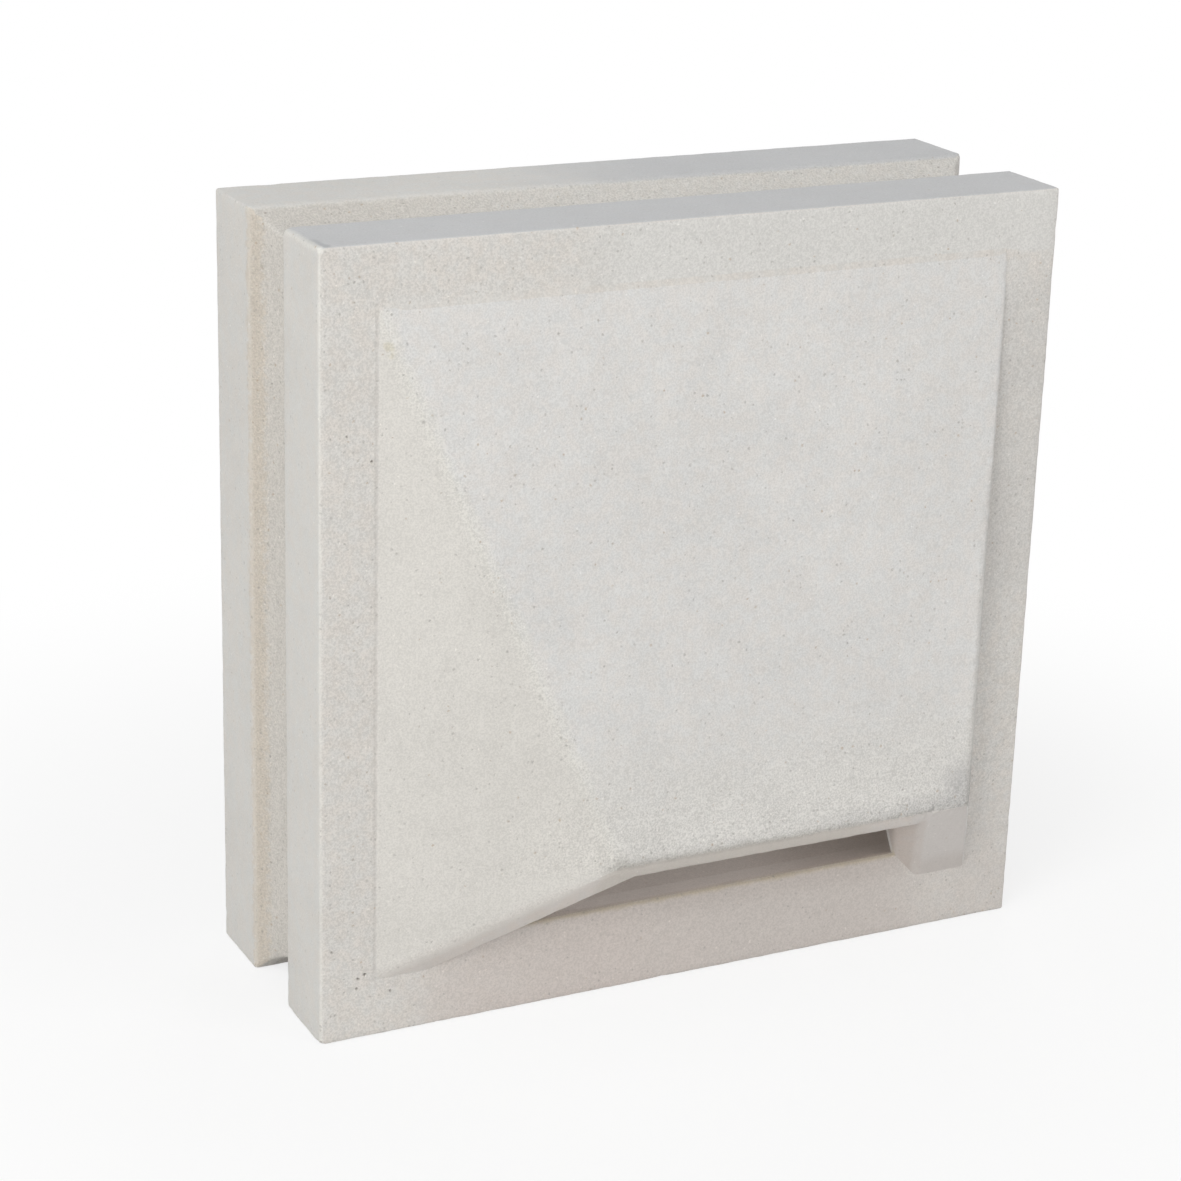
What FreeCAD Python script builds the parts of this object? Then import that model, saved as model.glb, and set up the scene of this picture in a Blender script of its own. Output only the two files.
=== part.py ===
import FreeCAD, Part
import os
import Sketcher

# Ventilated screen block, cast in cement as one piece. A deep square frame has a round mortar groove
# along all four sides. A faceted hood on the front shelters a low slot, and the slot leads into a
# hollow that is open at the back.
# Millimetres, +X right, +Y back, +Z up. The origin is under the middle of the whole block.

NODE = "screen_block"

SIZES = {
    # the frame
    "block_width": 190.0,
    "block_height": 190.0,
    "frame_depth": 65.0,
    # each flange beside the mortar groove, and how deep the groove's arc goes
    "flange": 21.5,
    "groove_depth": 5.75,
    # flat border round the hood, on its top and sides and below its foot
    "border": 13.5,
    "hood_foot": 14.5,
    # the hood's ridge: how far out, how high, and how far in from the hood's two sides
    "hood_reach": 10.0,
    "ridge_height": 36.5,
    "ridge_in_left": 58.8,
    "ridge_in_right": 6.5,
    # the lip under the ridge, and where the slanted lip leaves the frame, from the hood's left side
    "lip_height": 3.6,
    "lip_start": 14.5,
    # the slot's floor, and the cheek at its right: its width there and at the foot, and its slants
    "sill_height": 21.8,
    "cheek_width": 21.5,
    "cheek_foot": 14.7,
    "cheek_lean": 3.3,
    "cheek_flare": 15.3,
    # walls at the back rim, what they gain towards the front, and the thickness of the hood
    "wall": 14.5,
    "wall_draft": 4.5,
    "hood_thickness": 12.0,
}

doc = FreeCAD.newDocument("ScreenBlock")
sheet = doc.addObject("Spreadsheet::Sheet", "Sizes")
for row, (alias, value) in enumerate(SIZES.items(), start=1):
    sheet.set(f"A{row}", alias)
    sheet.set(f"B{row}", str(value))
    sheet.setAlias(f"B{row}", alias)
doc.recompute()

body = doc.addObject("PartDesign::Body", "ScreenBlock")
body.Label = NODE

# Places that several features share, worked out from the sizes
FRONT = "((Sizes.hood_reach - Sizes.frame_depth) / 2)"
BACK = "((Sizes.hood_reach + Sizes.frame_depth) / 2)"
LEFT = "(-Sizes.block_width / 2)"
HOOD_LEFT = "(Sizes.border - Sizes.block_width / 2)"
HOOD_RIGHT = "(Sizes.block_width / 2 - Sizes.border)"
HOOD_TOP = "(Sizes.block_height - Sizes.border)"
RIDGE_LEFT = f"({HOOD_LEFT} + Sizes.ridge_in_left)"
RIDGE_RIGHT = f"({HOOD_RIGHT} - Sizes.ridge_in_right)"
GROOVE_MOUTH = "(Sizes.frame_depth - 2 * Sizes.flange)"
GROOVE_RADIUS = f"(({GROOVE_MOUTH}^2 / 4 + Sizes.groove_depth^2) / (2 * Sizes.groove_depth))"


def bind(feature, **expressions):
    """Tie a feature's properties to the sheet. A double underscore in a name stands for a dot."""
    for name, expression in expressions.items():
        feature.setExpression(name.replace("__", "."), expression)


def add_frame():
    """The plain square block that the rest is cut from and added to."""
    frame = body.newObject("PartDesign::AdditiveBox", "Frame")
    bind(frame, Length="Sizes.block_width", Width="Sizes.frame_depth", Height="Sizes.block_height")
    bind(frame, Placement__Base__x=LEFT, Placement__Base__y=FRONT)


def add_wedge(kind, name, start, reach, base, end):
    """A wedge that starts on the plane y = start and narrows forwards over its reach.

    base and end give each rectangle as (left, right, bottom, top). The wedge's own axis is turned to
    face forwards, so left and right swap sides and signs.
    """
    wedge = body.newObject(kind, name)
    wedge.Placement.Rotation = FreeCAD.Rotation(FreeCAD.Vector(0, 0, 1), 180)
    left, right, bottom, top = base
    end_left, end_right, end_bottom, end_top = end
    bind(wedge, Xmin=f"-{right}", Xmax=f"-{left}", Zmin=bottom, Zmax=top)
    bind(wedge, X2min=f"-{end_right}", X2max=f"-{end_left}", Z2min=end_bottom, Z2max=end_top)
    wedge.Ymin = 0
    bind(wedge, Ymax=reach, Placement__Base__y=start)


def add_hood():
    """The faceted hood: four planes that rise from a square on the frame to a level ridge."""
    base = (HOOD_LEFT, HOOD_RIGHT, "Sizes.hood_foot", HOOD_TOP)
    ridge = (RIDGE_LEFT, RIDGE_RIGHT, "Sizes.ridge_height", "Sizes.ridge_height")
    add_wedge("PartDesign::AdditiveWedge", "Hood", FRONT, "Sizes.hood_reach", base, ridge)


def cut_hollow():
    """The hollow from the back: a drafted box, and a wedge that follows the hood's planes."""
    rim = ("(Sizes.wall - Sizes.block_width / 2)", "(Sizes.block_width / 2 - Sizes.wall)",
           "Sizes.wall", "(Sizes.block_height - Sizes.wall)")
    inner = ("(Sizes.wall + Sizes.wall_draft - Sizes.block_width / 2)",
             "(Sizes.block_width / 2 - Sizes.wall - Sizes.wall_draft)",
             "(Sizes.wall + Sizes.wall_draft)",
             "(Sizes.block_height - Sizes.wall - Sizes.wall_draft)")
    under_ridge = (RIDGE_LEFT, f"({RIDGE_RIGHT} - Sizes.wall_draft)",
                   "Sizes.sill_height", "Sizes.ridge_height")
    floor = f"({FRONT} + Sizes.hood_thickness)"
    box_depth = "(Sizes.frame_depth - Sizes.hood_thickness)"
    add_wedge("PartDesign::SubtractiveWedge", "Hollow", BACK, box_depth, rim, inner)
    add_wedge("PartDesign::SubtractiveWedge", "HoodHollow", floor, "Sizes.hood_reach", inner, under_ridge)


def front_sketch(name, place, corners):
    """A closed outline on an upright plane at y = place.

    Corners are (x, z) from the block's lower left corner.
    """
    sketch = body.newObject("Sketcher::SketchObject", name)
    upright = [plane for plane in body.Origin.OriginFeatures if plane.Role == "XZ_Plane"][0]
    sketch.AttachmentSupport = (upright, [""])
    sketch.MapMode = "FlatFace"
    bind(sketch, AttachmentOffset__Base__x=LEFT, AttachmentOffset__Base__z=f"-{place}")
    points = [FreeCAD.Vector(sheet.evalExpression(x), sheet.evalExpression(z), 0) for x, z in corners]
    for start, end in zip(points, points[1:] + points[:1]):
        sketch.addGeometry(Part.LineSegment(start, end))
    for index in range(len(points)):
        following = (index + 1) % len(points)
        sketch.addConstraint(Sketcher.Constraint("Coincident", index, 2, following, 1))
    for index, (point, corner) in enumerate(zip(points, corners)):
        for kind, value, expression in zip(("DistanceX", "DistanceY"), point, corner):
            number = sketch.addConstraint(Sketcher.Constraint(kind, -1, 1, index, 1, value))
            sketch.setExpression(f"Constraints[{number}]", expression)
    return sketch


# Corners of the slot and of its mouth, from the block's lower left corner
LIP_RISE = "((Sizes.ridge_height - Sizes.hood_foot) / Sizes.ridge_in_left)"
LIP_LEFT = "(Sizes.border + Sizes.lip_start)"
LIP_TOP = "(Sizes.ridge_height - Sizes.lip_height)"
LIP_CORNER = f"({LIP_LEFT} + ({LIP_TOP} - Sizes.hood_foot) / {LIP_RISE})"
SLOT_LEFT = f"({LIP_LEFT} + (Sizes.sill_height - Sizes.hood_foot) / {LIP_RISE})"
SLOT_RIGHT = "(Sizes.block_width - Sizes.border - Sizes.cheek_width)"
CHEEK_FOOT = "(Sizes.block_width - Sizes.border - Sizes.cheek_foot)"
CHEEK_SLOPE = f"(({CHEEK_FOOT} - {SLOT_RIGHT}) / (Sizes.sill_height - Sizes.hood_foot))"


def cut_slot():
    """The slot above the sill, from in front of the hood to the hollow, with its leaning right end."""
    corners = [
        (SLOT_LEFT, "Sizes.sill_height"),
        (SLOT_RIGHT, "Sizes.sill_height"),
        (f"({SLOT_RIGHT} - Sizes.cheek_lean)", LIP_TOP),
        (LIP_CORNER, LIP_TOP),
    ]
    slot = body.newObject("PartDesign::Pocket", "Slot")
    slot.Profile = front_sketch("SlotOutline", f"({FRONT} - Sizes.hood_reach)", corners)
    bind(slot, Length="Sizes.hood_reach + Sizes.hood_thickness")


def mouth_sketch(name, forward):
    """The mouth's outline at a distance in front of the frame, where its cheek flares to the right."""
    flare = f"(Sizes.cheek_flare * {forward} / Sizes.hood_reach)"
    corners = [
        (LIP_LEFT, "Sizes.hood_foot"),
        (f"({CHEEK_FOOT} + {flare})", "Sizes.hood_foot"),
        (f"({CHEEK_FOOT} + {flare} - {CHEEK_SLOPE} * ({LIP_TOP} - Sizes.hood_foot))", LIP_TOP),
        (LIP_CORNER, LIP_TOP),
    ]
    return front_sketch(name, f"({FRONT} - {forward})", corners)


def cut_mouth():
    """The space under the hood, in front of the frame, with the lip above it and the cheek at its right."""
    on_frame = mouth_sketch("MouthOnFrame", "0")
    at_ridge = mouth_sketch("MouthAtRidge", "Sizes.hood_reach")
    mouth = body.newObject("PartDesign::SubtractiveLoft", "Mouth")
    mouth.Profile = on_frame
    mouth.Sections = [at_ridge]
    mouth.Ruled = True


def cut_grooves():
    """The round mortar groove: one cylinder along each side, so that the grooves mitre at the corners."""
    middle = f"(({FRONT} + {BACK}) / 2)"
    outside = f"({GROOVE_RADIUS} - Sizes.groove_depth)"
    along_x = FreeCAD.Rotation(FreeCAD.Vector(0, 1, 0), 90)
    along_z = FreeCAD.Rotation()
    side = f"(Sizes.block_width / 2 + {outside})"
    above = f"(Sizes.block_height + {outside})"
    lengthwise = (along_x, "2 * Sizes.block_width")
    upright = (along_z, "2 * Sizes.block_height")
    sides = {
        "GrooveBelow": (lengthwise, "-Sizes.block_width", f"-{outside}"),
        "GrooveAbove": (lengthwise, "-Sizes.block_width", above),
        "GrooveLeft": (upright, f"-{side}", "-Sizes.block_height / 2"),
        "GrooveRight": (upright, side, "-Sizes.block_height / 2"),
    }
    for name, ((turn, length), x, z) in sides.items():
        groove = body.newObject("PartDesign::SubtractiveCylinder", name)
        groove.Placement.Rotation = turn
        bind(groove, Radius=GROOVE_RADIUS, Height=length)
        bind(groove, Placement__Base__x=x, Placement__Base__y=middle, Placement__Base__z=z)


def check_document():
    """Stop if anything failed to build."""
    for item in doc.Objects:
        if "Invalid" in item.State or "Error" in item.State:
            raise RuntimeError(f"{item.Name} failed: {item.State}")
    if body.Shape.isNull() or not body.Shape.isValid() or len(body.Shape.Solids) != 1:
        raise RuntimeError("the block is not one valid solid")


add_frame()
add_hood()
cut_hollow()
cut_slot()
cut_mouth()
cut_grooves()
doc.recompute()
check_document()

box = body.Shape.BoundBox
volume = body.Shape.Volume / 1000
print(f"{NODE}: {box.XLength:.2f} x {box.YLength:.2f} x {box.ZLength:.2f} mm, {volume:.1f} cm3")
os.makedirs("parts", exist_ok=True)
body.Shape.exportStep(f"parts/{NODE}.step")
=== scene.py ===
"""Looks of a ventilated screen block: pale cast cement with a sandy ridge, worn arrises and rough grooves.

Metres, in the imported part's own frame: +X right, +Y back, +Z up, with the block standing on z = 0.
"""

import math

import bmesh
import bpy
import numpy as np
from mathutils import Matrix, Vector, noise


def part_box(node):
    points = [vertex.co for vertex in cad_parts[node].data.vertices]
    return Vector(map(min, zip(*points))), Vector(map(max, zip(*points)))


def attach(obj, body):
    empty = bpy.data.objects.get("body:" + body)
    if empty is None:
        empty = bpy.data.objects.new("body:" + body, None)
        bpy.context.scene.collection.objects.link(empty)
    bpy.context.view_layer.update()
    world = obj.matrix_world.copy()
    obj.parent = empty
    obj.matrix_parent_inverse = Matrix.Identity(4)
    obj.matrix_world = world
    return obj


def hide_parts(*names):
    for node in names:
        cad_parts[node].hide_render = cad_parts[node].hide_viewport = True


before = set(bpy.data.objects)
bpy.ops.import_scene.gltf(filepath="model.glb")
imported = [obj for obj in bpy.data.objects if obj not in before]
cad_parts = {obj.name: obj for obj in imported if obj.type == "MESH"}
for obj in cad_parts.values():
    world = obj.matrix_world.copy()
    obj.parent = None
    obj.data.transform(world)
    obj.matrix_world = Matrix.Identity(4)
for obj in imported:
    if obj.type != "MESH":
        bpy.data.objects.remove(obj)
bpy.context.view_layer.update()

MM = 0.001
NODE = "screen_block"

# Sizes of the block that its wear and stains follow
BORDER = 13.5 * MM
HOOD_FOOT = 14.5 * MM
HOOD_REACH = 10.0 * MM
RIDGE_HEIGHT = 36.5 * MM
RIDGE_IN_LEFT = 58.8 * MM
RIDGE_IN_RIGHT = 6.5 * MM
FLANGE = 21.5 * MM
GROOVE_DEPTH = 5.75 * MM
SILL_HEIGHT = 21.8 * MM
SILL_LEFT = 47.5 * MM
SILL_RIGHT = 155.0 * MM
SILL_DEPTH = 14.0 * MM
HOLLOW_FLOOR = 26.0 * MM
CHEEK_LEFT = 161.8 * MM
CHEEK_RISE = Vector((-4.3, -8.4, 18.4)) * MM

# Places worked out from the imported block
low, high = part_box(NODE)
FRONT = low.y + HOOD_REACH
TOP = high.z
GROOVE_FRONT = FRONT + FLANGE
GROOVE_BACK = high.y - FLANGE
HOOD_TOP_LEFT = Vector((low.x + BORDER, FRONT, TOP - BORDER))
HOOD_TOP_RIGHT = Vector((high.x - BORDER, FRONT, TOP - BORDER))
HOOD_LOW_LEFT = Vector((low.x + BORDER, FRONT, HOOD_FOOT))
HOOD_LOW_RIGHT = Vector((high.x - BORDER, FRONT, HOOD_FOOT))
RIDGE_LEFT = Vector((low.x + BORDER + RIDGE_IN_LEFT, low.y, RIDGE_HEIGHT))
RIDGE_RIGHT = Vector((high.x - BORDER - RIDGE_IN_RIGHT, low.y, RIDGE_HEIGHT))
CREASE = [(HOOD_TOP_LEFT, RIDGE_LEFT)]
RIDGE = [(RIDGE_LEFT, RIDGE_RIGHT)]
RIDGE_CORNER = [(RIDGE_LEFT, RIDGE_LEFT)]
RIDGE_END = [(RIDGE_RIGHT, RIDGE_RIGHT)]
SLANT = [(HOOD_LOW_LEFT, RIDGE_LEFT)]
SEAMS = [(HOOD_TOP_LEFT, HOOD_LOW_LEFT), (HOOD_TOP_RIGHT, HOOD_LOW_RIGHT)]
FRONT_TOP_LEFT = Vector((low.x, FRONT, TOP))
FRONT_TOP_RIGHT = Vector((high.x, FRONT, TOP))
FRONT_LOW_LEFT = Vector((low.x, FRONT, 0))
WORN_TOP = [(FRONT_TOP_LEFT, Vector((low.x, GROOVE_FRONT, TOP)))]
WORN_SIDE = [(FRONT_TOP_LEFT, FRONT_LOW_LEFT)]
WORN_FRONT = [(FRONT_TOP_LEFT, FRONT_TOP_RIGHT)]
SILL = [(Vector((low.x + SILL_LEFT, FRONT, SILL_HEIGHT)), Vector((low.x + SILL_RIGHT, FRONT, SILL_HEIGHT)))]
HOOD_RIGHT = [(HOOD_TOP_RIGHT, RIDGE_RIGHT)]
CHEEK_FOOT = Vector((low.x + CHEEK_LEFT, FRONT, HOOD_FOOT))
CHEEK_EDGE = [(CHEEK_FOOT, CHEEK_FOOT + CHEEK_RISE)]
CHEEK_BASE = [(CHEEK_FOOT, HOOD_LOW_RIGHT)]
CHEEK_START = low.x + SILL_RIGHT - 6 * MM

# Slack in telling which part of the block a point or a face belongs to
NEAR = 1.0 * MM
FRAME_FACE_SLACK = 0.1 * MM
FRAME_POINT_SLACK = 0.01 * MM
HOOD_POINT_SLACK = 0.05 * MM
GROOVE_FACE_SLACK = 0.6 * MM
GROOVE_POINT_SLACK = 0.4 * MM
POINT_SLACK = 0.5 * MM

# How much of a normal lies along an axis on a face that looks, slants or leans that way, or looks down
FACING = 0.7
SLANTING = 0.5
LEANING = 0.3
UNDERSIDE = -0.2

# Mesh: cell size, points that count as one, slivers to merge, rounding of the arrises, and what counts as an
# arris, a seam or flat
CELL = 2.0 * MM
SAME_PLACE = MM / 1000
SLIVER = 0.15 * MM
ARRIS_ROUND = 0.7 * MM
ARRIS_SEGMENTS = 2
ARRIS_ANGLE = math.radians(25)
SEAM_ANGLE = math.radians(3)
FLAT_ANGLE = math.radians(0.5)

# Wear in the mesh: how deep the faces wave, and how the arrises crumble
FACE_WAVE = 0.10 * MM
FACE_WAVE_SIZE = 26 * MM
ARRIS_CRUMBLE = 0.12 * MM
ARRIS_NICK = 0.2 * MM
ARRIS_CRUMBLE_SIZE = 3.0 * MM
ARRIS_NICK_SIZE = 7.0 * MM
ARRIS_REACH = 1.8 * MM

# Sandy relief on the ridge and the crease, how far it spreads, and the crease's share of it
SAND_RELIEF = 0.34 * MM
SAND_RELIEF_SIZE = 1.1 * MM
SAND_REACH = 4.5 * MM
CREASE_SAND = 0.35

# Roughness inside the chips and pits: the size of its waves, and its share of their depth
BITE_ROUGH_SIZE = 1.5 * MM
BITE_ROUGHNESS = 0.5


def on_front(across, up):
    """A place on the frame's front face, from its lower left corner, in millimetres."""
    return Vector((low.x + across * MM, FRONT, up * MM))


# Damage: chips and pits as (place, outward direction, width, depth)
FORWARD = Vector((0, -1, 0))
CHIPS = [
    (on_front(0, 190), Vector((-1, -1, 1)), 6 * MM, 1.2 * MM),
    (on_front(0, 0), Vector((-1, -1, -1)), 5 * MM, 1.1 * MM),
    (on_front(0, 7), Vector((-1, -1, 0)), 5 * MM, 0.6 * MM),
    (on_front(0, 33), Vector((-1, -1, 0)), 4 * MM, 0.5 * MM),
    (on_front(0, 118), Vector((-1, -1, 0)), 5 * MM, 0.4 * MM),
    (on_front(30, 0), Vector((0, -1, -1)), 3 * MM, 0.7 * MM),
]
PITS = [
    (on_front(12.5, 141.1), FORWARD, 0.9 * MM, 0.6 * MM),
    (on_front(6.6, 147.4), FORWARD, 0.8 * MM, 0.4 * MM),
    (on_front(11.2, 16.3), FORWARD, 1.1 * MM, 0.7 * MM),
    (on_front(9.5, 15.5), FORWARD, 0.9 * MM, 0.6 * MM),
    (on_front(9.1, 13.1), FORWARD, 0.8 * MM, 0.5 * MM),
    (on_front(17.6, 10.9), FORWARD, 0.8 * MM, 0.5 * MM),
    (on_front(2.9, 23.6), FORWARD, 0.8 * MM, 0.4 * MM),
]
PIT_PLACES = [(place, place) for place, *_ in PITS]
CHIP_PLACES = [(place, place) for place, *_ in CHIPS]

# Two marks: an ochre stain near the hood's upper left corner, and a painted chip shadow, dark on the top
# behind the front corner
OCHRE_MARK = [(on_front(16.0, 167.2), on_front(17.6, 164.6))]
CHIP_SHADOW_MARK = [(FRONT_TOP_LEFT + Vector((1.2, 7.5, 0)) * MM, FRONT_TOP_LEFT + Vector((2.2, 1.2, 0)) * MM)]

# Where the cells are halved, in this order, as (lines, reach)
REFINED = [
    (RIDGE + CREASE, SAND_REACH),
    (RIDGE, SAND_REACH),
    (CHEEK_EDGE + SLANT, SAND_REACH),
    (SEAMS, 2.5 * MM),
    (SEAMS, 1.6 * MM),
    (CHIP_PLACES, 6 * MM),
    (CHIP_PLACES, 4 * MM),
    (PIT_PLACES, 3 * MM),
    (PIT_PLACES, 1.8 * MM),
    (PIT_PLACES, 1.2 * MM),
]

# What is worn round, in this order, as (lines, reach, rounds)
SOFTENED = [
    (CREASE, 5 * MM, 8),
    (RIDGE, 3 * MM, 11),
    (RIDGE_CORNER, 6 * MM, 13),
    (SLANT, 3.5 * MM, 6),
    (WORN_TOP, 2.5 * MM, 5),
    (CHEEK_EDGE, 3.5 * MM, 7),
]


def smooth(share):
    """Ease a share from 0 to 1, clipped at both ends."""
    share = np.clip(share, 0, 1)
    return share * share * (3 - 2 * share)


def fade(lengths, start, end):
    """0 at the start and before it, rising smoothly to 1 at the end. Both are in millimetres."""
    return smooth((lengths - start * MM) / ((end - start) * MM))


def distance_to_lines(points, lines):
    """Distance from each point to the nearest of the lines, which are (start, end) pairs."""
    nearest = np.full(len(points), np.inf)
    for start, end in lines:
        start, along = np.array(start), np.array(end - start)
        share = np.clip((points - start) @ along / max(along @ along, MM * MM * MM), 0, 1)
        nearest = np.minimum(nearest, np.linalg.norm(points - start - share[:, None] * along, axis=1))
    return nearest


def closeness(points, lines, reach):
    """1 on the lines, falling smoothly to 0 at the reach."""
    return smooth(1 - distance_to_lines(points, lines) / reach)


def ripple(points, size, seed):
    """Smooth noise from -1 to 1 at each point, with waves of about the given size."""
    shift = Vector((seed * 7.31, seed * 3.17, seed * 5.93))
    return np.array([noise.noise(Vector(p) / size + shift) for p in points])


def cut_cells(shape, axis):
    """Cut the whole shape by parallel planes, one cell apart."""
    count = round((high[axis] - low[axis]) / CELL)
    normal = Vector([float(i == axis) for i in range(3)])
    for place in np.linspace(low[axis], high[axis], count + 1)[1:-1]:
        everything = shape.verts[:] + shape.edges[:] + shape.faces[:]
        bmesh.ops.bisect_plane(shape, geom=everything, plane_co=normal * place, plane_no=normal,
                               dist=SAME_PLACE)


def split_large_faces(shape):
    """Leave only triangles and quads."""
    bmesh.ops.triangulate(shape, faces=[f for f in shape.faces if len(f.verts) > 4])


def refine(shape, lines, reach):
    """Halve the cells that lie within reach of the lines."""
    shape.verts.index_update()
    near = distance_to_lines(np.array([v.co for v in shape.verts]), lines) < reach
    edges = [e for e in shape.edges if all(near[v.index] for v in e.verts)]
    bmesh.ops.subdivide_edges(shape, edges=edges, cuts=1, use_grid_fill=True)
    split_large_faces(shape)


def fine_block():
    """The block's mesh with rounded arrises and small cells, and the lines of those arrises."""
    shape = bmesh.new()
    shape.from_mesh(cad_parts[NODE].data)
    bmesh.ops.remove_doubles(shape, verts=shape.verts, dist=SAME_PLACE)
    bmesh.ops.dissolve_limit(shape, angle_limit=FLAT_ANGLE, verts=shape.verts, edges=shape.edges)
    sharp = [e for e in shape.edges if e.calc_face_angle_signed(0) > ARRIS_ANGLE]
    arrises = [(e.verts[0].co.copy(), e.verts[1].co.copy()) for e in sharp]
    bmesh.ops.bevel(shape, geom=sharp, offset=ARRIS_ROUND, segments=ARRIS_SEGMENTS, profile=0.5,
                    affect="EDGES", clamp_overlap=True, loop_slide=True)
    for axis in range(3):
        cut_cells(shape, axis)
    split_large_faces(shape)
    bmesh.ops.remove_doubles(shape, verts=shape.verts, dist=SLIVER)
    for lines, reach in REFINED:
        refine(shape, lines, reach)
    for edge in shape.edges:
        edge.smooth = edge.calc_face_angle_signed(0) > -SEAM_ANGLE
    for face in shape.faces:
        face.smooth = True
    mesh = bpy.data.meshes.new("cement_block")
    shape.to_mesh(mesh)
    shape.free()
    return mesh, arrises


def read_points(mesh):
    """Places and normals of the mesh's points."""
    points = np.empty(len(mesh.vertices) * 3)
    mesh.vertices.foreach_get("co", points)
    normals = np.empty(len(mesh.vertices) * 3)
    mesh.vertices.foreach_get("normal", normals)
    return points.reshape(-1, 3), normals.reshape(-1, 3)


def write_points(mesh, points):
    mesh.vertices.foreach_set("co", points.ravel())
    mesh.update()


def soften(mesh, weight, rounds):
    """Round off the weighted points: each moves along its normal towards the middle of its neighbours."""
    ends = np.empty(len(mesh.edges) * 2, dtype=int)
    mesh.edges.foreach_get("vertices", ends)
    start, end = ends.reshape(-1, 2).T
    count = np.bincount(ends, minlength=len(mesh.vertices))
    for _ in range(rounds):
        points, normals = read_points(mesh)
        middle = np.zeros_like(points)
        np.add.at(middle, start, points[end])
        np.add.at(middle, end, points[start])
        step = ((middle / count[:, None] - points) * normals).sum(axis=1)
        write_points(mesh, points + normals * (weight * np.minimum(step, 0))[:, None])


def scoop(points, bites, seed):
    """Press every point that stands above a bite's bowl down onto it."""
    rough = ripple(points, BITE_ROUGH_SIZE, seed)
    for place, outward, width, depth in bites:
        outward = np.array(outward.normalized())
        away = points - np.array(place)
        height = away @ outward
        reach = np.linalg.norm(away - height[:, None] * outward, axis=1) / (width / 2)
        bowl = -depth * (1 - reach ** 2) * (1 + BITE_ROUGHNESS * rough)
        pressed = (reach < 1) & (height > bowl) & (height > -width)
        points[pressed] -= ((height - bowl)[:, None] * outward)[pressed]


def weather(mesh, arrises):
    """Wear that only takes cement away: soft ridge and crease, waves, sand, crumbled arrises, chips, pits."""
    points, _ = read_points(mesh)
    for lines, reach, rounds in SOFTENED:
        soften(mesh, closeness(points, lines, reach), rounds)
    points, normals = read_points(mesh)
    near_arris = closeness(points, arrises, ARRIS_REACH)
    to_right = smooth((points[:, 0] - RIDGE_LEFT.x) / (RIDGE_RIGHT.x - RIDGE_LEFT.x))
    near_sand = closeness(points, RIDGE, SAND_REACH) * (0.5 + 0.5 * to_right)
    near_sand += CREASE_SAND * closeness(points, CREASE, SAND_REACH)
    nick = smooth(3.0 * ripple(points, ARRIS_NICK_SIZE, seed=4) - 1.0)
    crumble = np.clip(ripple(points, ARRIS_CRUMBLE_SIZE, seed=2) + 0.4, 0, 1)
    sand = np.clip(0.35 + 0.8 * ripple(points, SAND_RELIEF_SIZE, seed=3), 0, 1)
    wave = 0.5 + 0.5 * ripple(points, FACE_WAVE_SIZE, seed=1)
    at_arris = ARRIS_CRUMBLE * crumble + ARRIS_NICK * nick
    depth = FACE_WAVE * wave + at_arris * near_arris + SAND_RELIEF * sand * near_sand
    points = points - normals * depth[:, None]
    scoop(points, CHIPS, seed=5)
    scoop(points, PITS, seed=6)
    write_points(mesh, points)


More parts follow.
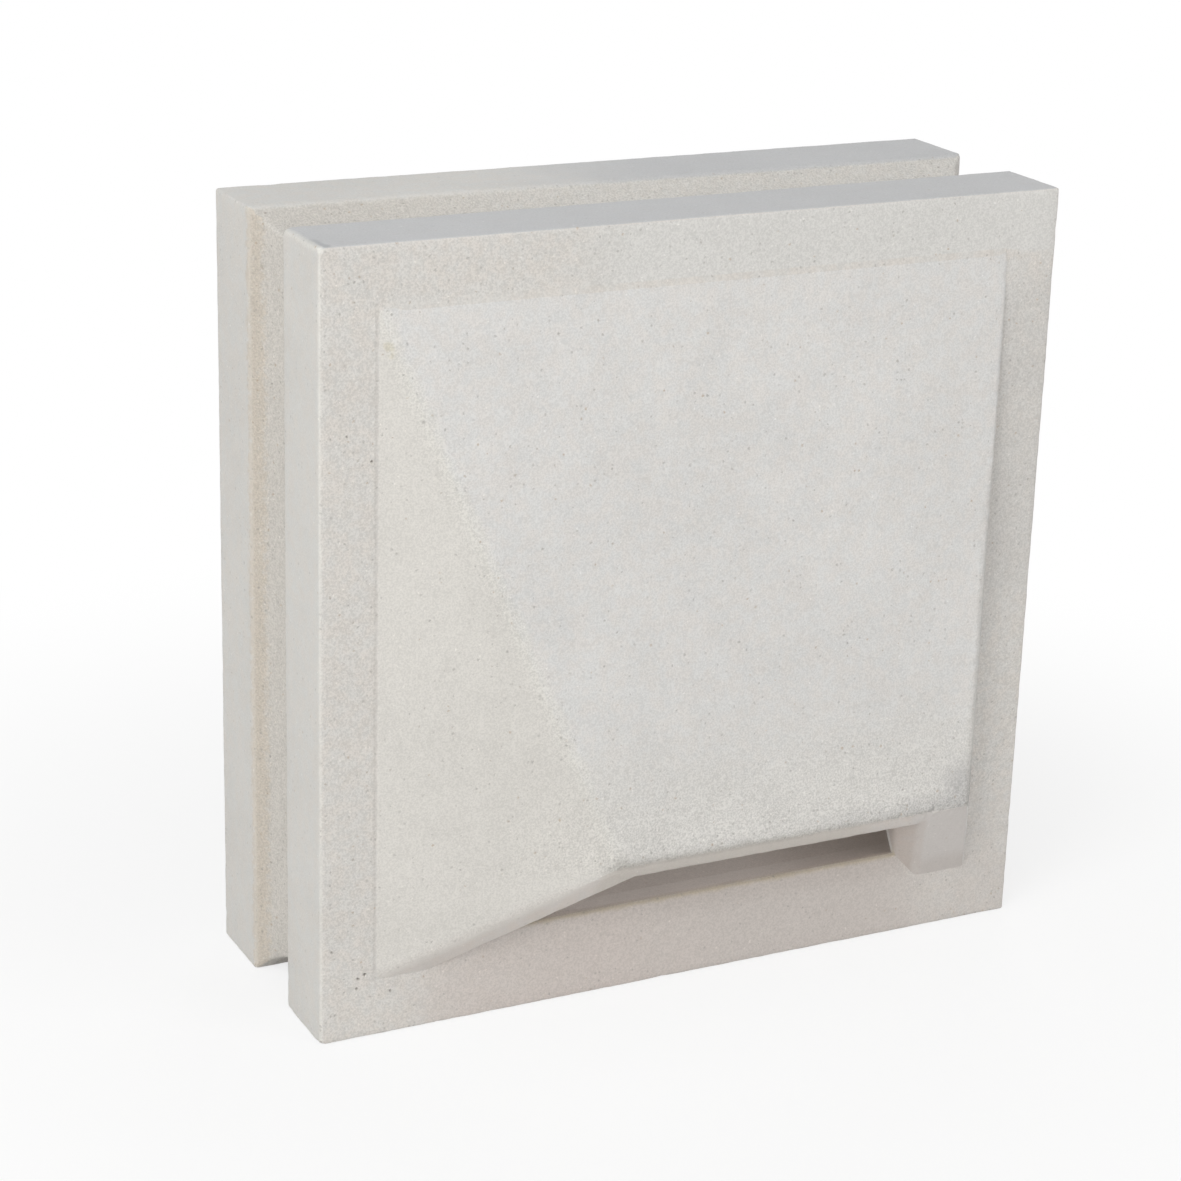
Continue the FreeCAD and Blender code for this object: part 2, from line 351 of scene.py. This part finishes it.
def paint(mesh, arrises):
    """Weights that the finishes read, one for each kind of wear, stain, tone or painted shade."""
    points, normals = read_points(mesh)
    x, y, z = points.T
    across = x - low.x
    outside = np.minimum(np.minimum(high.x - np.abs(x), z), TOP - z)

    def near(lines, reach):
        """1 on the lines, falling to 0 at a reach in millimetres."""
        return closeness(points, lines, reach * MM)

    in_groove = (y > GROOVE_FRONT) & (y < GROOVE_BACK) & (outside < GROOVE_DEPTH + GROOVE_POINT_SLACK)
    in_front = y < FRONT + POINT_SLACK
    on_frame = np.abs(y - FRONT) < FRAME_POINT_SLACK
    in_hollow = (y > FRONT) & (outside > GROOVE_DEPTH + NEAR)
    slot_floor = in_hollow * (normals[:, 2] > SLANTING) * (z < HOLLOW_FLOOR) * fade(y - FRONT, 46, 24)
    above_ridge = fade(z - RIDGE_HEIGHT, -1, 0)
    towards_right = fade(across, 90, 170)
    # The front gets darker and warmer towards its bottom, rising from the left edge and easing off near the
    # right edge
    darker_low = np.clip(0.42 + 4.8 * (across - 20 * MM), 0, 0.9) * fade(across, 2, 47)
    darker_low -= 0.42 * fade(across, 145, 172)
    darker_low *= fade(z, 65, 5) * in_front
    rim_edge = np.minimum(np.abs(y - GROOVE_FRONT), np.abs(y - GROOVE_BACK)) < 2 * MM
    level_top = (normals[:, 2] > FACING) & (z > TOP - NEAR)
    groove_sand = in_groove * fade(outside, 0, 1.2)
    on_left = (x < 0) & (np.abs(normals[:, 0]) > LEANING)
    pale_strip = on_frame * (z > TOP - BORDER - POINT_SLACK) * fade(across, 40, 90)
    weights = {
        "sandiness": np.maximum.reduce([
            0.9 * near(RIDGE, 14) * above_ridge * (0.5 + 0.5 * towards_right),
            0.52 * near(RIDGE, 45) * above_ridge,
            groove_sand,
            0.28 * on_frame * (1 - darker_low) * (1 - 0.5 * pale_strip),
            0.35 * near(CREASE, 6),
        ]),
        "arris_wear": np.maximum.reduce([
            0.85 * near(WORN_SIDE, 1.2),
            near(WORN_TOP, 2.2),
            0.4 * near(WORN_FRONT, 1.1),
            0.3 * near(arrises, 1.1) * (y > FRONT + SILL_DEPTH) * ~rim_edge,
        ]),
        "crease_wear": near(CREASE, 3.5),
        "low_warmth": near(RIDGE, 50) * above_ridge,
        # Partly a warmer tone of the facet's cement, partly painted warm light on the hood faces that look
        # left
        "facet_warm_tone_and_light": smooth((normals[:, 0] + 0.02) / -0.12) * (y < FRONT - HOOD_POINT_SLACK),
        "slant_edge": near(SLANT, 3) * fade(across, 70, 58),
        "ochre_mark": near(OCHRE_MARK, 1.8),
        "ridge_grime": near(RIDGE, 3) * above_ridge * (1 - 0.5 * towards_right),
        # Painted shade where the rounded ridge turns under, with some grime: a thin dark line along the
        # ridge, strongest on its left
        "ridge_shade_and_grime_line": near(RIDGE, 1.5) * (1 - 0.6 * towards_right),
        "ridge_smudge": above_ridge * np.maximum(near(RIDGE, 9) * (0.2 + 0.5 * towards_right),
                                                 near(RIDGE_END, 20)),
        "right_grime": near(HOOD_RIGHT, 2.4) * fade(z, 150, 90),
        # Painted shade round the rounded corner where the crease meets the ridge
        "ridge_corner_shade": near(RIDGE_CORNER, 7),
        # Painted shadow of the chip on the top, just behind the front left corner
        "chip_shadow_mark": near(CHIP_SHADOW_MARK, 1.8) * level_top,
        # Grime and painted shade in the concave seams where the hood meets the frame, fainter on the right
        # seam
        "seam_grime_and_shade": near(SEAMS, 0.8) * np.where(x < 0, 1.0, 0.35),
        # Painted shade in the middle of each pit
        "pit_shade": near(PIT_PLACES, 0.6),
        "low_front_darkening": darker_low,
        "strip_shade": 0.5 * fade(across, 172, 178) * fade(z, 55, 100) * fade(z, 178, 166) * in_front,
        "foot_blush": fade(across, 130, 60) * fade(across, 5, 50) * fade(z, 45, 10) * in_front,
        # Painted shade on the front just below the slot, under the hood, from the slot's middle rightwards
        "shade_under_slot": near(SILL, 10) * (z < SILL_HEIGHT) * fade(across, 60, 100) * in_front,
        "pale_strip": pale_strip,
        "sill_stain": near(SILL, 1.6),
        "sill_dust": slot_floor,
        # Painted shade on the floor behind the slot, growing towards its deep right end
        "slot_depth_shade": slot_floor * fade(across, 105, 153),
        "lip_shade": fade(across, 64, 72) * fade(across, 155, 130),
        "cheek_front": fade(across - SILL_RIGHT, -4, 2),
        "cheek_edge": near(CHEEK_EDGE, 2.6),
        # Painted shade round the foot of the cheek, where it meets the frame
        "cheek_foot": near(CHEEK_BASE, 11),
        # Painted shade and cool light: the level top faces are darker and cooler, all along the front flange
        # and growing from left to right on the back flange
        "top_cool_shade": level_top * np.where(y < GROOVE_FRONT, 1.0, fade(across, 30, 140)),
        "groove_sand": groove_sand * np.where(on_left, 1.0, 0.5 + 0.4 * fade(across, 70, 30)),
        "groove_line": fade(np.abs(y - GROOVE_FRONT - 0.8 * MM), 1.4, 0) * in_groove,
        "rim_stain": fade(np.abs(y - GROOVE_BACK + 0.8 * MM), 3.5, 0) * on_left,
    }
    for name, weight in weights.items():
        attribute = mesh.attributes.new(name, "FLOAT", "POINT")
        attribute.data.foreach_set("value", weight.astype(np.float32))


# Finishes

def add(tree, kind, inputs=None, **settings):
    """Add a node, set it up, and link or set its inputs by name or number."""
    node = tree.nodes.new(kind)
    for name, value in settings.items():
        setattr(node, name, value)
    for name, value in (inputs or {}).items():
        if isinstance(value, bpy.types.NodeSocket):
            tree.links.new(value, node.inputs[name])
        else:
            node.inputs[name].default_value = value
    return node


def math_node(tree, operation, *values):
    """The result of a math node on sockets or numbers."""
    return add(tree, "ShaderNodeMath", dict(enumerate(values)), operation=operation).outputs[0]


def blend(tree, share, under, over):
    """One colour mixed over another by a share."""
    inputs = {"Factor": share, 6: under, 7: over}
    return add(tree, "ShaderNodeMix", inputs, data_type="RGBA").outputs[2]


def ramp(tree, value, start, end, low_value=0.0, high_value=1.0):
    """A value's range from start to end, eased onto another range."""
    inputs = {"Value": value, "From Min": start, "From Max": end, "To Min": low_value, "To Max": high_value}
    return add(tree, "ShaderNodeMapRange", inputs, interpolation_type="SMOOTHSTEP").outputs[0]


def mixed(tree, share, first, second):
    """A number between two others, by a share."""
    return add(tree, "ShaderNodeMix", {"Factor": share, 2: first, 3: second}, data_type="FLOAT").outputs[0]


def scaled(tree, vector, factor):
    """A vector or a colour times a factor."""
    return add(tree, "ShaderNodeVectorMath", {0: vector, "Scale": factor}, operation="SCALE").outputs[0]


def moved(tree, place, shift):
    """A place with a shift added."""
    return add(tree, "ShaderNodeVectorMath", {0: place, 1: shift}, operation="ADD").outputs[0]


def grain_noise(tree, position, scale, detail):
    """Noise from 0 to 1 at so many waves a metre."""
    inputs = {"Vector": position, "Scale": scale, "Detail": detail, "Roughness": 0.6}
    return add(tree, "ShaderNodeTexNoise", inputs).outputs[0]


def new_group(name, inputs, outputs):
    """An empty shader group with named sockets. Gives its tree, its inputs and its output node."""
    group = bpy.data.node_groups.new(name, "ShaderNodeTree")
    for label, (kind, value) in inputs.items():
        socket = group.interface.new_socket(label, in_out="INPUT", socket_type=f"NodeSocket{kind}")
        if value is not None:
            socket.default_value = value
    for label in outputs:
        group.interface.new_socket(label, in_out="OUTPUT", socket_type="NodeSocketFloat")
    return group, group.nodes.new("NodeGroupInput").outputs, group.nodes.new("NodeGroupOutput").inputs


# Sand: grains and dark specks to a metre, how far the specks are shifted, how many pale grains there are to a
# dark speck along a line, and the share of cells that hold one on plain and on the sandiest cement
GRAINS = 2200.0
SPECKS = 900.0
GRAIN_SHIFT = 0.7 * MM
PALE_TO_DARK = 1.4
DARK_SHARES = (0.20, 0.75)
PALE_SHARES = (0.04, 0.26)

# Smallest and largest, as shares of a cell
DARK_SIZES = (0.22, 0.46)
PALE_SIZES = (0.22, 0.48)

# Clouds: large and small patches to a metre, and where the noise for their warmth starts
LARGE_CLOUDS = 22.0
SMALL_CLOUDS = 130.0
WARMTH_SHIFT = (3.1, 1.7, 5.3)


def scatter(group, position, scale, share, smallest, largest):
    """Sparse dots, one in some of the cells: their mask, and a random number for each cell."""
    cells = add(group, "ShaderNodeTexVoronoi", {"Vector": position, "Scale": scale})
    pick = add(group, "ShaderNodeSeparateColor", {"Color": cells.outputs["Color"]}).outputs
    picked = math_node(group, "LESS_THAN", pick[0], share)
    size = ramp(group, pick[1], 0.0, 1.0, smallest, largest)
    dot = ramp(group, math_node(group, "DIVIDE", cells.outputs["Distance"], size), 1.0, 0.2)
    return math_node(group, "MULTIPLY", picked, dot), pick[2]


def sand_grain_group():
    """Sand in the cement: grain, dark specks, pale grains, how rusty a speck is, and the relief of it all."""
    inputs = {"Position": ("Vector", None), "Grains": ("Float", GRAINS), "Specks": ("Float", SPECKS),
              "Sandiness": ("Float", 0.0)}
    group, given, put = new_group("sand_grain", inputs, ["Tone", "Dark", "Pale", "Rust", "Height"])
    position, sandiness = given["Position"], given["Sandiness"]
    warp = add(group, "ShaderNodeTexNoise", {"Vector": position, "Scale": given["Grains"], "Detail": 1.0})
    uneven = moved(group, position, scaled(group, warp.outputs["Color"], GRAIN_SHIFT))
    fine = grain_noise(group, position, given["Grains"], 2.0)
    medium = grain_noise(group, position, math_node(group, "MULTIPLY", given["Grains"], 0.28), 1.0)
    tone = ramp(group, mixed(group, 0.15, fine, medium), 0.3, 0.7)
    dark_share = ramp(group, sandiness, 0.0, 1.0, *DARK_SHARES)
    dark, luck = scatter(group, uneven, given["Specks"], dark_share, *DARK_SIZES)
    dark = math_node(group, "MULTIPLY", dark, ramp(group, luck, 0.0, 1.0, 0.15, 1.0))
    pale_scale = math_node(group, "MULTIPLY", given["Specks"], PALE_TO_DARK)
    pale_share = ramp(group, sandiness, 0.0, 1.0, *PALE_SHARES)
    pale, _ = scatter(group, uneven, pale_scale, pale_share, *PALE_SIZES)
    bumps = math_node(group, "ADD", math_node(group, "MULTIPLY", tone, 0.6), pale)
    group.links.new(tone, put["Tone"])
    group.links.new(dark, put["Dark"])
    group.links.new(pale, put["Pale"])
    group.links.new(ramp(group, luck, 0.88, 0.96), put["Rust"])
    group.links.new(math_node(group, "SUBTRACT", bumps, dark), put["Height"])
    return group


def clouds_group():
    """Cloudy patches of the dried cement from 0 to 1: their tone, and how warm they are."""
    inputs = {"Position": ("Vector", None), "Large": ("Float", LARGE_CLOUDS),
              "Small": ("Float", SMALL_CLOUDS)}
    group, given, put = new_group("cement_clouds", inputs, ["Tone", "Warmth"])
    position = given["Position"]
    large, small = [ramp(group, grain_noise(group, position, given[size], 3.0), 0.3, 0.7)
                    for size in ("Large", "Small")]
    warmth_scale = math_node(group, "MULTIPLY", given["Small"], 2.2)
    warmth = grain_noise(group, moved(group, position, WARMTH_SHIFT), warmth_scale, 4.0)
    group.links.new(mixed(group, 0.4, large, small), put["Tone"])
    group.links.new(ramp(group, warmth, 0.35, 0.65), put["Warmth"])
    return group


def worn_patch_group():
    """A painted weight, broken up by noise into an uneven mask."""
    inputs = {"Position": ("Vector", None), "Weight": ("Float", 0.0), "Breakup": ("Float", 300.0),
              "Raggedness": ("Float", 0.8)}
    group, given, put = new_group("worn_patch", inputs, ["Mask"])
    rough = grain_noise(group, given["Position"], given["Breakup"], 2.0)
    ragged = math_node(group, "MULTIPLY", math_node(group, "SUBTRACT", rough, 0.5), given["Raggedness"])
    raised = math_node(group, "ADD", given["Weight"], ragged)
    uneven = ramp(group, raised, 0.1, 0.9)
    inside = ramp(group, given["Weight"], 0.0, 0.25)
    group.links.new(math_node(group, "MULTIPLY", uneven, inside), put["Mask"])
    return group


GROUPS = {"sand": sand_grain_group(), "clouds": clouds_group(), "patch": worn_patch_group()}


def use_group(tree, name, **inputs):
    """Place one of the shared groups. Gives its outputs."""
    return add(tree, "ShaderNodeGroup", inputs, node_tree=GROUPS[name]).outputs


# Colours of the specks, and how much paler than the cement the pale grains are, and how strongly they show
DARK_SPECK = (0.30, 0.285, 0.27)
RUST_SPECK = (0.42, 0.31, 0.21)
PALE_GRAIN_GAIN = 1.32
PALE_GRAIN_SHARE = 0.6

# What the warm and the cool clouds do to each channel
WARM_TINT = (1.008, 0.996, 0.985)
COOL_TINT = (0.992, 1.004, 1.012)

# What sandiness does, from plain to the sandiest cement: more grain and relief, and a darker tone
SANDY_GRAIN = (0.8, 2.2)
SANDY_RELIEF = (0.6, 1.8)
SANDY_SHADE = 0.02

# Roughness of the darkest and the palest grain, gloss, and strength of the relief
ROUGHNESS = (0.95, 0.82)
GLOSS = 0.3
RELIEF_STRENGTH = 0.6


def tinted(colour, red, green, blue):
    """A colour with each channel scaled, ready for a socket."""
    return (colour[0] * red, colour[1] * green, colour[2] * blue, 1)


def painted(tree, name):
    """A weight painted on the mesh."""
    return add(tree, "ShaderNodeAttribute", attribute_name=name).outputs["Fac"]


def cement(name, colour, layers, clouds=0.02, grain=0.085, specks=0.6, relief=0.10 * MM):
    """A cement finish round a colour. Clouds and grain say how far it strays from that colour.

    Layers are (weight, colour, strength, breakup, raggedness), from the lowest up.
    """
    material = bpy.data.materials.new(name)
    material.use_nodes = True
    tree = material.node_tree
    shader = tree.nodes["Principled BSDF"]
    position = add(tree, "ShaderNodeTexCoord").outputs["Object"]
    sandiness = painted(tree, "sandiness")
    sand = use_group(tree, "sand", Position=position, Sandiness=sandiness)
    cloud = use_group(tree, "clouds", Position=position)
    base = blend(tree, cloud["Warmth"], tinted(colour, *COOL_TINT), tinted(colour, *WARM_TINT))
    for weight, patch_colour, strength, breakup, raggedness in layers:
        mask = use_group(tree, "patch", Position=position, Weight=painted(tree, weight), Breakup=breakup,
                         Raggedness=raggedness)
        base = blend(tree, math_node(tree, "MULTIPLY", mask["Mask"], strength), base, (*patch_colour, 1))
    strayed = math_node(tree, "ADD", ramp(tree, cloud["Tone"], 0.0, 1.0, -clouds, clouds), 1.0)
    grainy = math_node(tree, "MULTIPLY", ramp(tree, sand["Tone"], 0.0, 1.0, -grain, grain),
                       ramp(tree, sandiness, 0.0, 1.0, *SANDY_GRAIN))
    strayed = math_node(tree, "ADD", strayed, grainy)
    strayed = math_node(tree, "SUBTRACT", strayed, math_node(tree, "MULTIPLY", sandiness, SANDY_SHADE))
    base = scaled(tree, base, strayed)
    speck = blend(tree, sand["Rust"], (*DARK_SPECK, 1), (*RUST_SPECK, 1))
    pale = scaled(tree, base, PALE_GRAIN_GAIN)
    base = blend(tree, math_node(tree, "MULTIPLY", sand["Pale"], PALE_GRAIN_SHARE), base, pale)
    base = blend(tree, math_node(tree, "MULTIPLY", sand["Dark"], specks), base, speck)
    tree.links.new(base, shader.inputs["Base Color"])
    tree.links.new(ramp(tree, sand["Tone"], 0.0, 1.0, *ROUGHNESS), shader.inputs["Roughness"])
    shader.inputs["Specular IOR Level"].default_value = GLOSS
    height = math_node(tree, "MULTIPLY", sand["Height"], ramp(tree, sandiness, 0.0, 1.0, *SANDY_RELIEF))
    bump = add(tree, "ShaderNodeBump", {"Height": height, "Distance": relief, "Strength": RELIEF_STRENGTH})
    tree.links.new(bump.outputs[0], shader.inputs["Normal"])
    return material


# Colours of the wear, stains and shades, then the layers that more than one finish has
PALE_WEAR = (0.72, 0.705, 0.665)
CREAM_WEAR = (0.685, 0.67, 0.635)
# Warmer tone and painted warm light for the hood faces that look left
FACET_WARM_TONE_AND_LIGHT = (0.648, 0.628, 0.596)
OCHRE = (0.56, 0.52, 0.41)
# Grey for the grime on the ridge and on the hood's right edge, and for the painted shade at the ridge's
# corner
GRIME_AND_SHADE_GREY = (0.40, 0.385, 0.36)
SMUDGE_GREY = (0.485, 0.475, 0.468)
# Dark grey for the painted shade and grime along the ridge
RIDGE_SHADE_AND_GRIME_GREY = (0.44, 0.415, 0.385)
# Painted shadow of the chip on the top
CHIP_SHADOW_GREY = (0.34, 0.35, 0.365)
# Grey for the grime and painted shade in the hood's seams
SEAM_GRIME_AND_SHADE_GREY = (0.50, 0.475, 0.45)
# Painted shade inside the pits
PIT_SHADE_GREY = (0.33, 0.31, 0.29)
# A darker, warmer grey towards the bottom of the front
LOW_FRONT_GREY = (0.545, 0.505, 0.480)
PALE_STRIP = (0.642, 0.632, 0.613)
SILL_TAN = (0.50, 0.44, 0.35)
SILL_DUST = (0.51, 0.45, 0.415)
# Painted shade in the deep right end of the slot
SLOT_SHADE_BROWN = (0.425, 0.365, 0.33)
LIP_SHADE = (0.553, 0.517, 0.480)
CHEEK_SHADE = (0.525, 0.474, 0.442)
CHEEK_GREY = (0.578, 0.549, 0.530)
CHEEK_EDGE_GREY = (0.552, 0.512, 0.486)
# Painted shade at the foot of the cheek
CHEEK_FOOT_SHADE = (0.47, 0.425, 0.395)
FOOT_BLUSH = (0.575, 0.517, 0.488)
# Painted shade on the front below the slot
SHADE_UNDER_SLOT = (0.50, 0.455, 0.43)
STRIP_SHADE = (0.56, 0.545, 0.528)
SLANT_CREAM = (0.624, 0.597, 0.566)
LOW_WARMTH = (0.655, 0.640, 0.616)
GROOVE_GREY = (0.572, 0.545, 0.510)
LINE_GREY = (0.46, 0.44, 0.415)
BEIGE_STAIN = (0.56, 0.485, 0.395)
# Painted shade on the level top faces: a darker, cooler grey
TOP_SHADE_GREY = (0.513, 0.517, 0.530)
ARRIS_LAYER = ("arris_wear", PALE_WEAR, 0.65, 300.0, 0.9)
# Grime and painted shade in the seams
SEAM_GRIME_AND_SHADE_LAYER = ("seam_grime_and_shade", SEAM_GRIME_AND_SHADE_GREY, 0.45, 260.0, 1.8)
SILL_LAYER = ("sill_stain", SILL_TAN, 0.8, 300.0, 0.7)
# Painted shade and grime along the ridge, on the hood and the lip
RIDGE_SHADE_AND_GRIME_LAYER = ("ridge_shade_and_grime_line", RIDGE_SHADE_AND_GRIME_GREY, 0.6, 300.0, 0.9)
SLANT_LAYER = ("slant_edge", SLANT_CREAM, 1.0, 90.0, 0.4)
CHEEK_LAYERS = [
    # Painted shade at the foot of the cheek
    ("cheek_foot", CHEEK_FOOT_SHADE, 0.4, 90.0, 0.6),
    ("cheek_edge", CHEEK_EDGE_GREY, 1.0, 90.0, 0.3),
]

FINISHES = {
    "hood": cement("hood_cement", (0.655, 0.643, 0.631), [
        ("low_warmth", LOW_WARMTH, 0.9, 60.0, 0.6),
        # Warmer tone and painted warm light on the left facet
        ("facet_warm_tone_and_light", FACET_WARM_TONE_AND_LIGHT, 1.0, 60.0, 0.4),
        SLANT_LAYER,
        ("crease_wear", CREAM_WEAR, 0.6, 120.0, 1.5),
        ("ochre_mark", OCHRE, 0.6, 500.0, 1.8),
        ("ridge_smudge", SMUDGE_GREY, 0.85, 90.0, 1.0),
        ("ridge_grime", GRIME_AND_SHADE_GREY, 0.4, 420.0, 1.5),
        RIDGE_SHADE_AND_GRIME_LAYER,
        ("right_grime", GRIME_AND_SHADE_GREY, 0.4, 420.0, 1.2),
        # Painted shade at the ridge's corner
        ("ridge_corner_shade", GRIME_AND_SHADE_GREY, 0.3, 260.0, 1.1),
        SEAM_GRIME_AND_SHADE_LAYER,
    ], clouds=0.032),
    "lip": cement("lip_cement", (0.604, 0.563, 0.533), [
        ("lip_shade", LIP_SHADE, 1.0, 90.0, 0.5),
        SLANT_LAYER,
        ("cheek_front", CHEEK_GREY, 1.0, 90.0, 0.3),
        *CHEEK_LAYERS,
        RIDGE_SHADE_AND_GRIME_LAYER,
    ], grain=0.03, specks=0.25, relief=0.04 * MM),
    "cheek": cement("cheek_cement", CHEEK_SHADE, CHEEK_LAYERS, grain=0.04, specks=0.3, relief=0.06 * MM),
    "frame": cement("frame_cement", (0.634, 0.611, 0.584), [
        ("pale_strip", PALE_STRIP, 1.0, 60.0, 0.4),
        ("strip_shade", STRIP_SHADE, 1.0, 60.0, 0.4),
        # Darker and warmer towards the bottom of the front
        ("low_front_darkening", LOW_FRONT_GREY, 1.0, 60.0, 0.4),
        ("foot_blush", FOOT_BLUSH, 0.6, 60.0, 0.4),
        # Painted shade below the slot
        ("shade_under_slot", SHADE_UNDER_SLOT, 0.6, 60.0, 0.4),
        SILL_LAYER,
        SEAM_GRIME_AND_SHADE_LAYER,
        ARRIS_LAYER,
        # Painted shade inside the pits
        ("pit_shade", PIT_SHADE_GREY, 0.8, 600.0, 0.6),
    ]),
    "side": cement("side_cement", (0.634, 0.619, 0.596), [
        # Painted shade on the level top faces
        ("top_cool_shade", TOP_SHADE_GREY, 0.8, 60.0, 0.4),
        # Painted shadow of the chip on the top
        ("chip_shadow_mark", CHIP_SHADOW_GREY, 0.5, 300.0, 1.0),
        ("groove_sand", GROOVE_GREY, 0.9, 300.0, 0.5),
        ("groove_line", LINE_GREY, 0.5, 320.0, 1.1),
        ("rim_stain", BEIGE_STAIN, 0.5, 700.0, 1.9),
        ARRIS_LAYER,
    ], grain=0.045, specks=0.55),
    "hollow": cement("hollow_cement", (0.622, 0.597, 0.566), [
        ("sill_dust", SILL_DUST, 1.0, 90.0, 0.4),
        # Painted shade deep in the slot
        ("slot_depth_shade", SLOT_SHADE_BROWN, 1.0, 90.0, 0.4),
        SILL_LAYER,
        ARRIS_LAYER,
    ], clouds=0.04),
}


def finish_of(centre, normal):
    """Which finish a face has, by where it lies and which way it looks."""
    outside = min(high.x - abs(centre.x), centre.z, TOP - centre.z)
    on_front_face = normal.y < -FACING and centre.y < FRONT + NEAR
    if normal.y > FACING and centre.y > high.y - NEAR:
        return "frame"
    if outside < GROOVE_DEPTH + GROOVE_FACE_SLACK and not on_front_face:
        return "side"
    if centre.y > FRONT + NEAR:
        return "hollow"
    if centre.y > FRONT - FRAME_FACE_SLACK:
        return "frame"
    if normal.z > UNDERSIDE:
        return "hood"
    return "cheek" if normal.x < -LEANING and centre.x > CHEEK_START else "lip"


def add_block():
    """The finished block, which stands for the plain one."""
    mesh, arrises = fine_block()
    names = list(FINISHES)
    for name in names:
        mesh.materials.append(FINISHES[name])
    indices = [names.index(finish_of(face.center, face.normal)) for face in mesh.polygons]
    mesh.polygons.foreach_set("material_index", indices)
    paint(mesh, arrises)
    weather(mesh, arrises)
    block = bpy.data.objects.new("cement_block", mesh)
    bpy.context.scene.collection.objects.link(block)
    normals = block.modifiers.new("face_weighted_normals", "WEIGHTED_NORMAL")
    normals.keep_sharp = True
    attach(block, "root")
    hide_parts(NODE)


# Camera: where it stands, how it is turned, and its lens
CAMERA_PLACE = Vector((-0.3271, -0.6184, 0.3372))
CAMERA_AZIMUTH = math.radians(26.86)
CAMERA_DIP = math.radians(19.40)
CAMERA_ROLL = math.radians(1.66)
CAMERA_LENS = 92.55
SENSOR_WIDTH = 36


def add_camera():
    data = bpy.data.cameras.new("camera")
    data.lens = CAMERA_LENS
    data.sensor_width = SENSOR_WIDTH
    camera = bpy.data.objects.new("camera", data)
    bpy.context.scene.collection.objects.link(camera)
    turn = Matrix.Rotation(-CAMERA_AZIMUTH, 4, "Z") @ Matrix.Rotation(math.pi / 2 - CAMERA_DIP, 4, "X")
    camera.matrix_world = Matrix.Translation(CAMERA_PLACE) @ turn @ Matrix.Rotation(CAMERA_ROLL, 4, "Z")
    bpy.context.scene.camera = camera


# Studio: soft square lights as (name, degrees to the left, degrees above level, power, colour), a white room,
# and a floor that fades to white between two distances from the block
LIGHTS = [
    ("high_light", 50, 55, 8.6, (0.96, 1.0, 1.03)),
    ("left_light", 60, 25, 8.3, (1.03, 1.0, 0.94)),
    ("right_light", -35, 25, 5.6, (1.03, 1.0, 0.96)),
    ("back_light", -145, 12, 7.0, (1.0, 1.0, 1.0)),
]
LIGHT_TARGET = Vector((0, 0, 0.09))
LIGHT_AWAY = 1.6
LIGHT_WIDTH = 0.8
ROOM_LIGHT = 0.36
FLOOR_SIZE = 4.0
FLOOR_COLOUR = (0.86, 0.86, 0.86)
FLOOR_FADE = (0.10, 0.32)
FLOOR_WHITE = (0.75, 1.0)


def add_light(name, left, up, power, colour):
    data = bpy.data.lights.new(name, "AREA")
    data.energy = power
    data.size = LIGHT_WIDTH
    data.color = colour
    light = bpy.data.objects.new(name, data)
    left, up = math.radians(left), math.radians(up)
    outward = Vector((-math.sin(left) * math.cos(up), -math.cos(left) * math.cos(up), math.sin(up)))
    light.location = LIGHT_TARGET + LIGHT_AWAY * outward
    light.rotation_mode = "QUATERNION"
    light.rotation_quaternion = outward.to_track_quat("Z", "Y")
    bpy.context.scene.collection.objects.link(light)


def seen_directly(tree):
    """1 for rays that show the surroundings: from the camera, in a gloss or through glass."""
    path = add(tree, "ShaderNodeLightPath").outputs
    glossy = math_node(tree, "MAXIMUM", path["Is Camera Ray"], path["Is Glossy Ray"])
    return math_node(tree, "MAXIMUM", glossy, path["Is Transmission Ray"])


def add_room():
    world = bpy.data.worlds.new("studio")
    bpy.context.scene.world = world
    world.use_nodes = True
    tree = world.node_tree
    background = tree.nodes["Background"]
    background.inputs["Color"].default_value = (1, 1, 1, 1)
    strength = ramp(tree, seen_directly(tree), 0.0, 1.0, ROOM_LIGHT, 1.0)
    tree.links.new(strength, background.inputs["Strength"])


def add_floor():
    """A pale floor that keeps the block's shadow and fades to white away from it."""
    mesh = bpy.data.meshes.new("floor")
    half = FLOOR_SIZE / 2
    corners = [(-half, -half, 0), (half, -half, 0), (half, half, 0), (-half, half, 0)]
    mesh.from_pydata(corners, [], [(0, 1, 2, 3)])
    floor = bpy.data.objects.new("floor", mesh)
    bpy.context.scene.collection.objects.link(floor)
    material = bpy.data.materials.new("pale_floor")
    material.use_nodes = True
    tree = material.node_tree
    shader = tree.nodes["Principled BSDF"]
    shader.inputs["Base Color"].default_value = (*FLOOR_COLOUR, 1)
    shader.inputs["Roughness"].default_value = 1.0
    shader.inputs["Specular IOR Level"].default_value = 0.0
    white = add(tree, "ShaderNodeEmission", {"Color": (1, 1, 1, 1), "Strength": 1.0})
    place = add(tree, "ShaderNodeTexCoord").outputs["Object"]
    away = add(tree, "ShaderNodeVectorMath", {0: place}, operation="LENGTH").outputs["Value"]
    share = math_node(tree, "MULTIPLY", ramp(tree, away, *FLOOR_FADE, *FLOOR_WHITE), seen_directly(tree))
    surface = add(tree, "ShaderNodeMixShader", {0: share, 1: shader.outputs[0], 2: white.outputs[0]})
    tree.links.new(surface.outputs[0], tree.nodes["Material Output"].inputs["Surface"])
    mesh.materials.append(material)


add_block()
add_camera()
for light in LIGHTS:
    add_light(*light)
add_room()
add_floor()
bpy.context.scene.view_settings.view_transform = "Standard"
